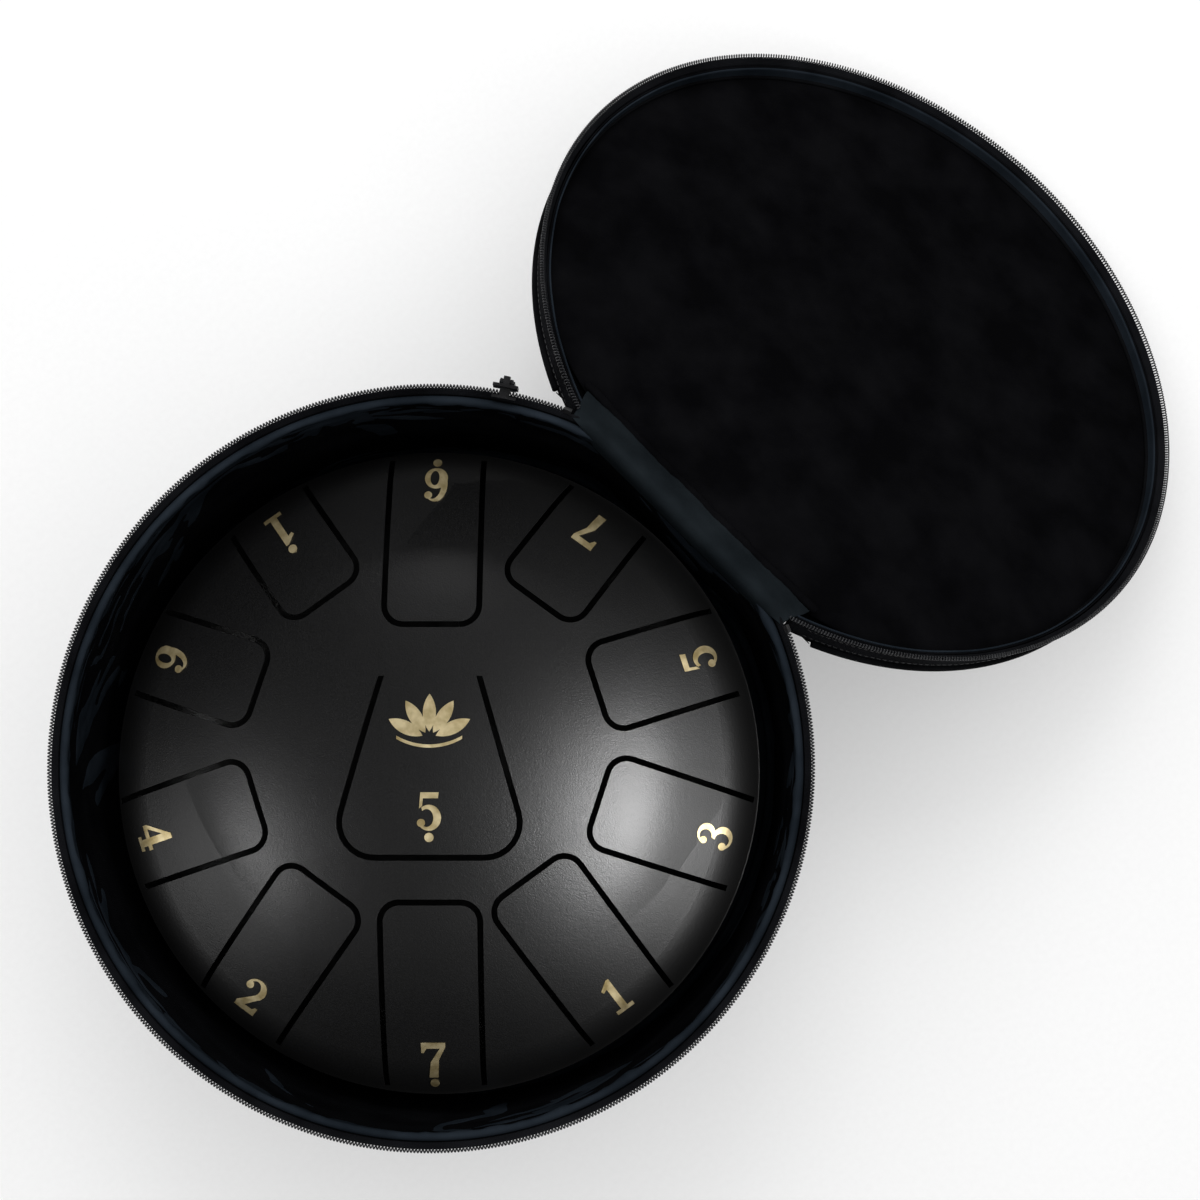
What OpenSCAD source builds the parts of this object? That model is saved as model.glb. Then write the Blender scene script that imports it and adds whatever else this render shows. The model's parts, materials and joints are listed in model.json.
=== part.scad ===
/* [Bag] */
// Outer radius of the zip at the rim of the bag
rim_r = 172.5; // [165:0.5:185]
// Height of the plane where the base and the closed lid meet
rim_h = 200; // [195:1:210]
// Distance from the bag's axis to the fold line of the lid
hinge_y = 160; // [158.5:0.5:162]
// Height of the closed lid above the rim plane
lid_h = 20; // [16:1:24]
// Thickness of the padding
foam_t = 3; // [2:0.5:4]

/* [Drum] */
// Radius of the steel shells at the equator
drum_r = 155; // [150:0.5:155.5]
// Height of the top of the drum above the floor
apex_z = 180; // [170:1:184]
// Thickness of the steel sheet
steel_t = 1.6; // [1.2:0.1:2.5]
// Turn of the drum inside the bag
drum_turn = 45; // [0:1:359]
// Width of the slots that free the tongues
slot_w = 2.8; // [2:0.1:4]
// Radius where the rim tongues' slots end
slot_end_r = 149; // [144:0.5:150]
// How far the tongue pattern's centre lies off the drum's axis
pattern_y = 12; // [0:1:15]
// Height of a note number
digit_h = 17.5; // [12:0.5:19]

/* [Handle] */
// Half of the angle between the handle's two legs
handle_a = 20; // [15:1:30]
// Height of the handle's fold line
handle_z = 150; // [120:1:160]
// Length that the handle hangs below its fold line
handle_drop = 88; // [60:1:100]

/* [Hidden] */
$fn = 96;
eps = 0.01;
big = 400;

// fabric and padding
fabric_t = 1.2;
lining_t = 0.8;
floor_t = 1.5;
floor_foam_t = 5;
wall_r = rim_r - 5;
foam_r = wall_r - fabric_t;
floor_top = floor_t + floor_foam_t + lining_t;
piping_r = 1.8;

// zip: a sewn flange, a leaning band and a coil bead along its edge
tape_t = 1;
coil_w = 2;
lean_len = 3.5;
coil_gap = 0.8;
tape_foot = wall_r + tape_t / 2;
lean_z = rim_h - coil_gap - (lean_len + coil_w + coil_w / 2) * sin(45);
tape_flange = 10;
zip_start = 113.5;
zip_sweep = 360 - 2 * (zip_start - 90);
stop_a = 1.2;

// slider and pull, parked by the left end of the fold
slider_a = 1.9;
slider_at = 124;
plate_t = 1.4;
plate_half_h = 4.5;
slider_in_r = wall_r + 0.5;
slider_out_r = rim_r + 0.5;
slider_face_r = slider_out_r + plate_t;
post_half_h = 0.45;
post_half_a = 0.8;
bridge_w = 3;
bridge_r = slider_face_r + 1.9;
bridge_z = rim_h + 1;
pin_r = 0.8;
pin_play = 0.08;
pull_w = 7;
pull_t = 1.6;
pull_len = 27;

// lid, modelled closed and then turned back about the fold line
lid_top = rim_h + lid_h - 0.5;
lid_panel_t = 1;
lid_foam_t = 5;
lid_in = lid_top - lid_panel_t - lid_foam_t - lining_t;
bead_r = wall_r + 0.7;
bead_z = lid_h - piping_r;
reach = norm([hinge_y + bead_r, bead_z]);
lid_slope = asin((rim_h - piping_r) / reach) - atan2(bead_z, hinge_y + bead_r);
lid_open = 180 + lid_slope;
fold_gap = 0.5;

// handle
patch_t = 1.5;
patch_half_a = 5;
patch_h = 30;
strap_in_r = wall_r + 2.7;
strap_t = 2;
strap_half_a = 4.3;
grip_h = 26;

// drum: a crown, a tighter shoulder tangent to it and a straight skirt
drum_y = -3;
crown_r = 230;
shoulder_r = 45;
equator_z = 90;
foot_h = 8;
foot_gap = 0.2;
drum_floor = floor_top + foot_gap + foot_h;
belly_r = 52.5;
shoulder_x = drum_r - shoulder_r;
crown_z = apex_z - crown_r;
shoulder_z = crown_z + sqrt((crown_r - shoulder_r) ^ 2 - shoulder_x ^ 2);
port_r = 30;
grommet_lip = 2.5;
foot_ring_r = 75;
foot_r = 9;
stem_r = 3;
stem_play = 0.1;
seam_r = 1;
foil_t = 0.35;
corner_r = 9;
arc_steps = 8;

// node, digit, octave, width, distance of the free end from the pattern's centre
TONGUES = [
    ["note_6_low", 6, -1, 44, 55],
    ["note_1_high", 1, 1, 42, 83.5],
    ["note_6", 6, 0, 41.5, 84.5],
    ["note_4", 4, 0, 42.5, 84.5],
    ["note_2", 2, 0, 45, 81],
    ["note_7_low", 7, -1, 46, 72.5],
    ["note_1", 1, 0, 46.5, 76],
    ["note_3", 3, 0, 44, 81.5],
    ["note_5", 5, 0, 42, 80.5],
    ["note_7", 7, 0, 43, 82.5]
];
tongue_step = 36;
digit_inset = 13.5;
dot_r = 2.1;
dot_at = digit_h / 2 + 3;

// centre tongue: rooted at its narrow end
root_half = 22.5;
root_y = 31;
tip_y = -52;
tip_r = 16;
tip_x = 25.3;
tip_lean = 16.2;
centre_digit_y = -31;
emblem_y = 2;

// ---- shared shapes ----

// A disc with a flat back along the fold line
module flat_disc(r) {
    intersection() {
        circle(r);
        translate([-big / 2, -big + hinge_y])
            square([big, big]);
    }
}

// The same outline drawn in by t all round, flat back included
module inner_disc(r, t) {
    intersection() {
        circle(r - t);
        translate([-big / 2, -big + hinge_y - t])
            square([big, big]);
    }
}

module slab(z, h) {
    translate([0, 0, z])
        linear_extrude(h)
            children();
}

// A wall of the bag between two depths in from the outer face
module wall_layer(outer, inner, z, h) {
    slab(z, h)
        difference() {
            inner_disc(wall_r, outer);
            inner_disc(wall_r, inner);
        }
}

// A ring segment with a rectangular section
module arc_block(r0, r1, z0, z1, from, sweep) {
    rotate([0, 0, from])
        rotate_extrude(angle = sweep)
            translate([r0, z0])
                square([r1 - r0, z1 - z0]);
}

module zip_arc() {
    rotate([0, 0, zip_start])
        rotate_extrude(angle = zip_sweep)
            children();
}

module tape_section() {
    translate([wall_r, lean_z - tape_flange])
        square([tape_t, tape_flange]);
    translate([tape_foot, lean_z])
        rotate(-45)
            translate([-tape_t / 2, 0])
                square([tape_t, lean_len]);
}

module coil_section() {
    translate([tape_foot, lean_z])
        rotate(-45)
            translate([-coil_w / 2, lean_len])
                square([coil_w, coil_w]);
}

// Piping along the edge of the wall, between the two ends of a gap at the back
module piping(z, gap_y) {
    half_gap = acos(gap_y / wall_r);
    rotate([0, 0, 90 + half_gap])
        rotate_extrude(angle = 360 - 2 * half_gap)
            piping_section(z);
}

module piping_section(z) {
    difference() {
        translate([bead_r, z])
            circle(piping_r);
        translate([wall_r - 2 * piping_r, z - 2 * piping_r])
            square([2 * piping_r, 4 * piping_r]);
    }
}

// ---- bag base ----

module bottom_panel() {
    color("#15171b")
        slab(0, floor_t)
            flat_disc(wall_r);
}

module bottom_foam() {
    color("#3a3b3e")
        slab(floor_t, floor_foam_t)
            inner_disc(wall_r, fabric_t);
}

module bottom_lining() {
    color("#1b2230")
        slab(floor_t + floor_foam_t, lining_t)
            inner_disc(wall_r, fabric_t + foam_t + lining_t);
}

module side_wall() {
    color("#15171b")
        wall_layer(0, fabric_t, floor_t, lean_z - floor_t);
}

module side_foam() {
    color("#3a3b3e")
        wall_layer(fabric_t, fabric_t + foam_t, floor_t + floor_foam_t, lean_z - floor_t - floor_foam_t);
}

module side_lining() {
    color("#1b2230")
        wall_layer(fabric_t + foam_t, fabric_t + foam_t + lining_t,
            floor_t + floor_foam_t, lean_z - floor_t - floor_foam_t);
}

module bottom_piping() {
    color("#101114")
        piping(piping_r + 0.4, hinge_y - 2);
}

module rim_zip_tape() {
    color("#1a1c20")
        zip_arc()
            tape_section();
}

module rim_zip_coil() {
    color("#222428")
        rotate([0, 0, zip_start + stop_a])
            rotate_extrude(angle = zip_sweep - 2 * stop_a)
                coil_section();
}

module zip_stops() {
    color("#2a2c30")
        for (from = [zip_start, zip_start + zip_sweep - stop_a])
            rotate([0, 0, from])
                rotate_extrude(angle = stop_a)
                    coil_section();
}

module hinge_strip() {
    color("#2b3342")
        slab(lean_z, rim_h - coil_gap - lean_z)
            difference() {
                flat_disc(wall_r - 1);
                translate([-big / 2, hinge_y - big - fabric_t - foam_t - lining_t])
                    square([big, big]);
            }
}

module handle_patches() {
    color("#191b1f")
        for (side = [-1, 1])
            arc_block(wall_r, wall_r + patch_t, handle_z + 2, handle_z + 2 + patch_h,
                270 + side * handle_a - patch_half_a, 2 * patch_half_a);
}

// ---- lid, opened ----

// Turns a lid piece from closed to open
module turned_back() {
    translate([0, hinge_y, rim_h])
        rotate([-lid_open, 0, 0])
            translate([0, -hinge_y, -rim_h])
                children();
}

// Turns a lid piece back and trims it along the fold
module opened() {
    difference() {
        turned_back()
            children();
        translate([-big / 2, hinge_y + fold_gap - big, rim_h - big / 2])
            cube([big, big, big]);
    }
}

module lid_panel() {
    color("#15171b")
        opened()
            slab(lid_top - lid_panel_t, lid_panel_t)
                circle(wall_r);
}

module lid_foam() {
    color("#3a3b3e")
        opened()
            slab(lid_in + lining_t, lid_foam_t)
                circle(foam_r);
}

module lid_lining() {
    color("#0d0e11")
        opened()
            slab(lid_in, lining_t)
                circle(foam_r - lining_t);
}

module lid_ring(r, t, z0, z1) {
    opened()
        slab(z0, z1 - z0)
            difference() {
                circle(r);
                circle(r - t);
            }
}

module lid_skirt() {
    color("#15171b")
        lid_ring(wall_r, fabric_t, 2 * rim_h - lean_z, lid_top - lid_panel_t);
}

module lid_skirt_lining() {
    color("#1b2230")
        lid_ring(foam_r, lining_t, 2 * rim_h - lean_z, lid_in + lining_t);
}

module lid_piping() {
    color("#101114")
        turned_back()
            piping(rim_h + bead_z, hinge_y - lid_h);
}

module mirrored_zip() {
    opened()
        translate([0, 0, 2 * rim_h])
            mirror([0, 0, 1])
                zip_arc()
                    children();
}

module lid_zip_tape() {
    color("#1a1c20")
        mirrored_zip()
            tape_section();
}

module lid_zip_coil() {
    color("#222428")
        mirrored_zip()
            coil_section();
}

// ---- zip slider and its pull ----

module zip_slider() {
    color("#2a2c30") {
        arc_block(slider_out_r, slider_face_r, rim_h - plate_half_h, rim_h + plate_half_h,
            slider_at - slider_a, 2 * slider_a);
        arc_block(slider_in_r, slider_in_r + plate_t - 0.1, rim_h - 2, rim_h + 2,
            slider_at - slider_a, 2 * slider_a);
        arc_block(slider_in_r, slider_face_r, rim_h - post_half_h, rim_h + post_half_h,
            slider_at - post_half_a, 2 * post_half_a);
        rotate([0, 0, slider_at])
            difference() {
                translate([slider_face_r - 0.3, -bridge_w / 2, bridge_z - 2.2])
                    cube([bridge_r - slider_face_r + 2.2, bridge_w, 4.4]);
                translate([bridge_r, 0, bridge_z])
                    rotate([90, 0, 0])
                        cylinder(r = pin_r + pin_play, h = 2 * bridge_w, center = true);
            }
    }
}

module zip_pull() {
    arm_t = 1.2;
    arm_y = bridge_w / 2 + 0.3;
    neck = 4;
    color("#2a2c30")
        rotate([0, 0, slider_at])
            translate([bridge_r, 0, bridge_z]) {
                rotate([90, 0, 0])
                    cylinder(r = pin_r, h = 2 * (arm_y + arm_t), center = true);
                for (side = [-1, 1])
                    translate([-pull_t / 2, side * (arm_y + arm_t / 2) - arm_t / 2, -neck - 1])
                        cube([pull_t, arm_t, neck + 1 + pin_r]);
                translate([-pull_t / 2, -pull_w / 2, -pull_len])
                    cube([pull_t, pull_w, pull_len - neck]);
            }
}

// ---- handle ----

module carry_handle() {
    low = handle_z - handle_drop;
    outer_a = handle_a + strap_half_a;
    inner_a = handle_a - strap_half_a;
    color("#191b1f")
        difference() {
            arc_block(strap_in_r, strap_in_r + strap_t, low, handle_z, 270 - outer_a, 2 * outer_a);
            arc_block(strap_in_r - 1, strap_in_r + strap_t + 1, low + grip_h, handle_z + 1,
                270 - inner_a, 2 * inner_a);
        }
}

// ---- drum ----

module placed() {
    translate([0, drum_y, 0])
        rotate([0, 0, drum_turn])
            children();
}

// Half section of the top dome, grown by o
module dome_section(o) {
    lean = shoulder_x / (shoulder_z - crown_z);
    intersection() {
        union() {
            intersection() {
                translate([0, crown_z])
                    circle(crown_r + o);
                polygon([[0, crown_z], [lean * big, crown_z + big], [0, crown_z + big]]);
            }
            translate([shoulder_x, shoulder_z])
                circle(shoulder_r + o);
            translate([0, equator_z])
                square([drum_r + o, shoulder_z - equator_z]);
        }
        translate([0, equator_z])
            square([big, big]);
    }
}

// Half section of the bottom bowl, grown by o
module bowl_section(o) {
    intersection() {
        union() {
            translate([0, drum_floor - o])
                square([drum_r - belly_r, equator_z]);
            translate([drum_r - belly_r, drum_floor + belly_r])
                circle(belly_r + o);
            translate([0, drum_floor + belly_r])
                square([drum_r + o, equator_z]);
        }
        translate([0, drum_floor - 1])
            square([big, equator_z - drum_floor + 1]);
    }
}

function arc(c, r, from, to) =
    [for (i = [0:arc_steps]) let (a = from + (to - from) * i / arc_steps) c + r * [cos(a), sin(a)]];
function reversed(path) = [for (i = [len(path) - 1:-1:0]) path[i]];

// One side of a rim tongue's slot, grown by o
function tongue_edge(w, inner, outer, o) = concat(
    [[-w / 2 - o, outer]],
    arc([-w / 2 + corner_r, inner + corner_r], corner_r + o, 180, 270),
    arc([w / 2 - corner_r, inner + corner_r], corner_r + o, 270, 360),
    [[w / 2 + o, outer]]);

// One side of the centre tongue's slot, grown by o
function centre_edge(o) = concat(
    [[-root_half - o, root_y]],
    arc([-tip_x, tip_y + tip_r], tip_r + o, 180 - tip_lean, 270),
    arc([tip_x, tip_y + tip_r], tip_r + o, 270, 360 + tip_lean),
    [[root_half + o, root_y]]);

// Distance from the pattern's centre to the circle where the slots end
function slot_reach(a) =
    -pattern_y * sin(a) + sqrt(slot_end_r ^ 2 - (pattern_y * cos(a)) ^ 2);
function tongue_angle(i) = 90 + tongue_step * i;

module slots() {
    translate([0, pattern_y]) {
        for (i = [0:len(TONGUES) - 1]) {
            t = TONGUES[i];
            outer = slot_reach(tongue_angle(i));
            rotate(tongue_angle(i) - 90)
                polygon(concat(
                    tongue_edge(t[3], t[4], outer, slot_w / 2),
                    reversed(tongue_edge(t[3], t[4], outer, -slot_w / 2))));
        }
        polygon(concat(centre_edge(slot_w / 2), reversed(centre_edge(-slot_w / 2))));
    }
}

module top_shell() {
    color("#141414")
        placed()
            difference() {
                rotate_extrude()
                    difference() {
                        dome_section(0);
                        dome_section(-steel_t);
                    }
                slab(equator_z + eps, apex_z)
                    slots();
            }
}

module foot_places() {
    for (i = [0:3])
        rotate([0, 0, 90 * i])
            translate([foot_ring_r, 0, drum_floor])
                children();
}

module bottom_shell() {
    color("#141414")
        placed()
            difference() {
                rotate_extrude()
                    difference() {
                        bowl_section(0);
                        bowl_section(-steel_t);
                        square([port_r, equator_z / 2]);
                    }
                foot_places()
                    cylinder(r = stem_r + stem_play, h = 20, center = true);
            }
}

module weld_seam() {
    color("#101010")
        placed()
            rotate_extrude()
                difference() {
                    translate([drum_r, equator_z])
                        circle(seam_r);
                    translate([0, equator_z - 2 * seam_r])
                        square([drum_r, 4 * seam_r]);
                }
}

module port_grommet() {
    color("#1c1c1c")
        placed()
            rotate_extrude()
                translate([port_r, drum_floor]) {
                    translate([-grommet_lip, -1.5])
                        square([grommet_lip, steel_t + 3]);
                    translate([-eps, -1.5])
                        square([grommet_lip, 1.5]);
                    translate([-eps, steel_t])
                        square([grommet_lip, 1.5]);
                }
}

module feet() {
    color("#1c1c1c")
        placed()
            foot_places() {
                translate([0, 0, -foot_h])
                    cylinder(r = foot_r, h = foot_h);
                translate([0, 0, -eps])
                    cylinder(r = stem_r, h = steel_t + 2 * eps);
                translate([0, 0, steel_t])
                    cylinder(r = stem_r + 2, h = 3);
            }
}

// ---- gold foil ----

function oval(c, rx, ry) = [for (i = [0:27]) let (a = i * 360 / 28) c + [rx * cos(a), ry * sin(a)]];

// Digits with heavy and thin strokes, about 12 wide and 18 high, centred
module digit_1() {
    polygon([[-1.8, -8], [1.8, -8], [1.8, 9], [0.3, 9], [-4.6, 5.6], [-4, 4.2], [-1.8, 5]]);
    polygon([[-4.8, -9], [4.8, -9], [4.8, -7], [-4.8, -7]]);
}

module digit_2() {
    intersection() {
        difference() {
            polygon(oval([0, 3.6], 5.6, 5.4));
            polygon(oval([-0.9, 3.8], 3.1, 3.9));
        }
        polygon([[-7, 3.5], [-7, 10], [7, 10], [7, -2], [3.2, -0.6], [0, 3.5]]);
    }
    polygon([[4.9, 1.2], [1.9, 1.6], [-5.4, -6.2], [-5.4, -9], [-1, -6.4]]);
    polygon([[-5.6, -9], [5.6, -9], [5.9, -4.6], [4.6, -4.6], [3.4, -6.2], [-4.6, -6.2]]);
    polygon(oval([-3.7, 4.2], 1.9, 1.9));
}

module digit_3() {
    intersection() {
        union() {
            difference() {
                polygon(oval([0, 4.6], 5, 4.4));
                polygon(oval([-0.9, 4.6], 2.8, 3));
            }
            difference() {
                polygon(oval([0, -3.9], 5.6, 5.1));
                polygon(oval([-1, -3.9], 3.2, 3.6));
            }
        }
        polygon([[-7, 4.6], [-7, 10], [7, 10], [7, -10], [-7, -10], [-7, -4.2], [0, -4.2], [-1.6, 0], [0, 4.6]]);
    }
    polygon(oval([-3.4, 5], 1.7, 1.7));
    polygon(oval([-3.9, -4.9], 1.9, 1.9));
}

module digit_4() {
    difference() {
        polygon([[1.2, 9], [3.6, 9], [3.6, -8], [0, -8], [0, -4.6], [-6.4, -4.6], [-6.4, -2.6]]);
        polygon([[0, 4.4], [0, -2.6], [-4.2, -2.6]]);
    }
    polygon([[3.5, -4.6], [6, -4.6], [6, -2.6], [3.5, -2.6]]);
    polygon([[-1.8, -9], [5.4, -9], [5.4, -7.2], [-1.8, -7.2]]);
}

module digit_5() {
    polygon([[-4, 9], [4.6, 9], [4.2, 6.2], [-2.8, 6.2], [-3.2, 2.6], [-4.6, 1.4]]);
    intersection() {
        difference() {
            polygon(oval([0, -2.9], 5.7, 6.1));
            polygon(oval([-1.1, -3], 3.2, 4.2));
        }
        polygon([[-4.4, 5], [8, 5], [8, -10], [-7, -10], [-7, -5.2], [0, -5.2], [-3, 0]]);
    }
    polygon(oval([-3.7, -5.3], 1.9, 1.9));
}

module digit_6() {
    difference() {
        polygon(oval([0, -3.4], 5.6, 5.6));
        polygon(oval([0.7, -3.5], 2.2, 3.9));
    }
    intersection() {
        difference() {
            polygon(oval([0.4, 0], 6, 9));
            polygon(oval([1.6, -0.3], 4.3, 7.9));
        }
        polygon([[-7, -3.6], [-7, 10], [7, 10], [7, 5.2], [0, 5.2], [-2.2, -3.6]]);
    }
    polygon(oval([3.6, 5.6], 1.9, 1.9));
}

module digit_7() {
    polygon([[-5.8, 9], [5.8, 9], [5.8, 6.6], [2.6, 0.4], [1.9, -9], [-2.4, -9], [-1.4, -1], [3.2, 6], [-3.2, 6],
        [-4.6, 3.8], [-5.8, 3.8]]);
}

module digit(n) {
    if (n == 1) digit_1();
    if (n == 2) digit_2();
    if (n == 3) digit_3();
    if (n == 4) digit_4();
    if (n == 5) digit_5();
    if (n == 6) digit_6();
    if (n == 7) digit_7();
}

// A thin skin on the dome wherever the flat shape below it covers
module foil() {
    color("#c9a85a")
        placed()
            intersection() {
                rotate_extrude()
                    difference() {
                        dome_section(foil_t);
                        dome_section(0);
                    }
                slab(equator_z, apex_z)
                    translate([0, pattern_y])
                        children();
            }
}

module numeral(n, octave) {
    scale(digit_h / 18)
        digit(n);
    if (octave != 0)
        translate([0, octave * dot_at])
            circle(dot_r);
}

module note(i) {
    t = TONGUES[i];
    a = tongue_angle(i);
    foil()
        rotate(a + 90)
            translate([0, -(slot_reach(a) - digit_inset)])
                numeral(t[1], t[2]);
}

module note_5_low() {
    foil()
        translate([0, centre_digit_y])
            numeral(5, -1);
}

// A fan of pointed leaves over a curved stroke
module emblem() {
    leaf_r = 14;
    leaf_off = 11;
    foil()
        translate([0, emblem_y]) {
            for (a = [-64:32:64])
                rotate(a)
                    translate([0, 12])
                        intersection() {
                            translate([leaf_off, 0])
                                circle(leaf_r);
                            translate([-leaf_off, 0])
                                circle(leaf_r);
                        }
            intersection() {
                difference() {
                    translate([0, 26])
                        circle(30);
                    translate([0, 27.5])
                        circle(30);
                }
                translate([-15, -8])
                    square([30, 12]);
            }
        }
}

bottom_panel();
bottom_foam();
bottom_lining();
side_wall();
side_foam();
side_lining();
bottom_piping();
rim_zip_tape();
rim_zip_coil();
zip_stops();
hinge_strip();
handle_patches();
lid_panel();
lid_foam();
lid_lining();
lid_skirt();
lid_skirt_lining();
lid_piping();
lid_zip_tape();
lid_zip_coil();
zip_slider();
zip_pull();
carry_handle();
top_shell();
bottom_shell();
weld_seam();
port_grommet();
feet();
note(0);  // note_6_low
note(1);  // note_1_high
note(2);  // note_6
note(3);  // note_4
note(4);  // note_2
note(5);  // note_7_low
note(6);  // note_1
note(7);  // note_3
note(8);  // note_5
note(9);  // note_7
note_5_low();
emblem();
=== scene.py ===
import json
import math

import bpy
import numpy as np
from mathutils import Matrix, Vector, noise


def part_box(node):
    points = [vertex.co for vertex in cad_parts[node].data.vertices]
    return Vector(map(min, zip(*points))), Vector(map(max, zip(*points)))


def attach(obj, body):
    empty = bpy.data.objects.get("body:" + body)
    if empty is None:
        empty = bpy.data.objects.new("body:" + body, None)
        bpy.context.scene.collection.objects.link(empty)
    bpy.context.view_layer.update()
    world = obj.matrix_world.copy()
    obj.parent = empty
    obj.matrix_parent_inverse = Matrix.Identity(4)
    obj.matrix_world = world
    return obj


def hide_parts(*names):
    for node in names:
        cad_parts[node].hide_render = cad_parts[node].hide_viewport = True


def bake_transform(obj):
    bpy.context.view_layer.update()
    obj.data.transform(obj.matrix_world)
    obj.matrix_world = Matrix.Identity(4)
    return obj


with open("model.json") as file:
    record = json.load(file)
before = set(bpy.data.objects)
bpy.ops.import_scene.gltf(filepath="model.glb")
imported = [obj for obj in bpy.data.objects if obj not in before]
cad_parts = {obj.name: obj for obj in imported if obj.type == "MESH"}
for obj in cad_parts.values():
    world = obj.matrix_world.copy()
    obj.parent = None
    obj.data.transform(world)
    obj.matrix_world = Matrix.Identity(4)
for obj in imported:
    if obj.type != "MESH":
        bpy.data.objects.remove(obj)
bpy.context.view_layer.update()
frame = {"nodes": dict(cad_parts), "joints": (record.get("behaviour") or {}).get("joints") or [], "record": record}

# ---------------------------------------------------------------- sizes from the frame, in metres
MM = 0.001
JOINTS = {j["name"]: j for j in frame["joints"]}
HINGE = Vector(JOINTS["lid_hinge"]["pos_m"])
LID_OPEN = math.radians(JOINTS["lid_hinge"]["range_deg"][1])
LID_SLOPE = LID_OPEN - math.pi
HANDLE_FOLD = Vector(JOINTS["handle_swing"]["pos_m"])
RIM_Z = HINGE.z
WALL_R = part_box("side_wall")[1].x
WALL_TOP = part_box("side_wall")[1].z
FLOOR_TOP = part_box("bottom_lining")[1].z
ROOM_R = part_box("bottom_lining")[1].x
ROOM_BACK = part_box("bottom_lining")[1].y
SHELL_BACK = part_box("side_wall")[1].y
RIM_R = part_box("rim_zip_coil")[1].x
DRUM_LOW, DRUM_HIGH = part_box("top_shell")
DRUM_AXIS = (DRUM_LOW + DRUM_HIGH) / 2
DRUM_R = (DRUM_HIGH.x - DRUM_LOW.x) / 2
EQUATOR_Z = DRUM_LOW.z

LID_TO_OPEN = Matrix.Translation(HINGE) @ Matrix.Rotation(-LID_OPEN, 4, "X") @ Matrix.Translation(-HINGE)
ZIP_START = math.radians(113.5)
ZIP_SWEEP = math.radians(313)
RIM_TAPE_START = math.radians(107)
RIM_TAPE_SWEEP = math.radians(326)
LEAN = math.radians(45)
LID_GAP = 0.8 * MM
LID_TOP = RIM_Z + 19.5 * MM
LID_LINING_DEPTH = 12.7 * MM
LID_LINING_Z = RIM_Z + LID_LINING_DEPTH


# ---------------------------------------------------------------- mesh helpers
def link(obj):
    bpy.context.scene.collection.objects.link(obj)
    return obj


def new_piece(name, verts, faces, uvs=None, smooth=True):
    """A mesh object from points, faces and one UV per face corner."""
    mesh = bpy.data.meshes.new(name)
    mesh.from_pydata([tuple(v) for v in verts], [], [tuple(f) for f in faces])
    if uvs is not None:
        layer = mesh.uv_layers.new(name="UVMap")
        layer.data.foreach_set("uv", np.asarray(uvs, np.float32).ravel())
    mesh.update()
    if smooth:
        mesh.shade_smooth()
    return link(bpy.data.objects.new(name, mesh))


def grid_piece(name, points, closed=False, smooth=True):
    """A sheet from points[i][j]; closed joins the last i to the first. UVs are lengths in metres."""
    p = np.asarray(points, float)
    nu, nv = p.shape[:2]
    step_u = np.linalg.norm(np.diff(p, axis=0), axis=2).mean(axis=1)
    step_v = np.linalg.norm(np.diff(p, axis=1), axis=2).mean(axis=0)
    close = np.linalg.norm(p[0] - p[-1], axis=1).mean()
    u = np.concatenate([[0], np.cumsum(step_u), [step_u.sum() + close]])
    v = np.concatenate([[0], np.cumsum(step_v)])
    cols = nu if closed else nu - 1
    faces, uvs = [], []
    for i in range(cols):
        k = (i + 1) % nu
        for j in range(nv - 1):
            faces.append((i * nv + j, k * nv + j, k * nv + j + 1, i * nv + j + 1))
            uvs += [(u[i], v[j]), (u[i + 1], v[j]), (u[i + 1], v[j + 1]), (u[i], v[j + 1])]
    return new_piece(name, p.reshape(-1, 3), faces, uvs, smooth)


def disc_piece(name, spokes, rings, place):
    """A closed disc: place(i, s) is the point on spoke i at share s of the way to the edge."""
    verts = [place(0, 0.0)] + [place(i, 1 - j / rings) for i in range(spokes) for j in range(rings)]
    faces = []
    for i in range(spokes):
        a, b = 1 + i * rings, 1 + (i + 1) % spokes * rings
        faces += [(a + j, b + j, b + j + 1, a + j + 1) for j in range(rings - 1)]
        faces.append((a + rings - 1, b + rings - 1, 0))
    uvs = [verts[k][:2] for f in faces for k in f]
    return new_piece(name, verts, faces, uvs)


def tube_piece(name, path, normals, section, closed=False):
    """A tube: the section's (side, out) offsets swept along a path with a normal at each point."""
    path, normals = np.asarray(path, float), np.asarray(normals, float)
    ahead = np.roll(path, -1, axis=0) - np.roll(path, 1, axis=0)
    if not closed:
        ahead[0] = path[1] - path[0]
        ahead[-1] = path[-1] - path[-2]
    ahead /= np.linalg.norm(ahead, axis=1)[:, None]
    side = np.cross(ahead, normals)
    side /= np.linalg.norm(side, axis=1)[:, None]
    out = np.cross(side, ahead)
    ring = [path + s * side + o * out for s, o in section]
    rings = np.stack(ring, axis=1)
    n, m = rings.shape[:2]
    length = np.concatenate([[0], np.cumsum(np.linalg.norm(np.diff(path, axis=0), axis=1))])
    length = np.append(length, length[-1] + np.linalg.norm(path[0] - path[-1]))
    around = np.concatenate([[0], np.cumsum([
        math.dist(section[k], section[(k + 1) % m]) for k in range(m)])])
    faces, uvs = [], []
    for i in range(n if closed else n - 1):
        k = (i + 1) % n
        for j in range(m):
            h = (j + 1) % m
            faces.append((i * m + j, k * m + j, k * m + h, i * m + h))
            uvs += [(length[i], around[j]), (length[i + 1], around[j]),
                    (length[i + 1], around[j + 1]), (length[i], around[j + 1])]
    if not closed:
        for base, order in ((0, range(m)), ((n - 1) * m, range(m - 1, -1, -1))):
            faces.append([base + j for j in order])
            uvs += [(length[0], around[j]) for j in order]
    return new_piece(name, rings.reshape(-1, 3), faces, uvs)


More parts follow.
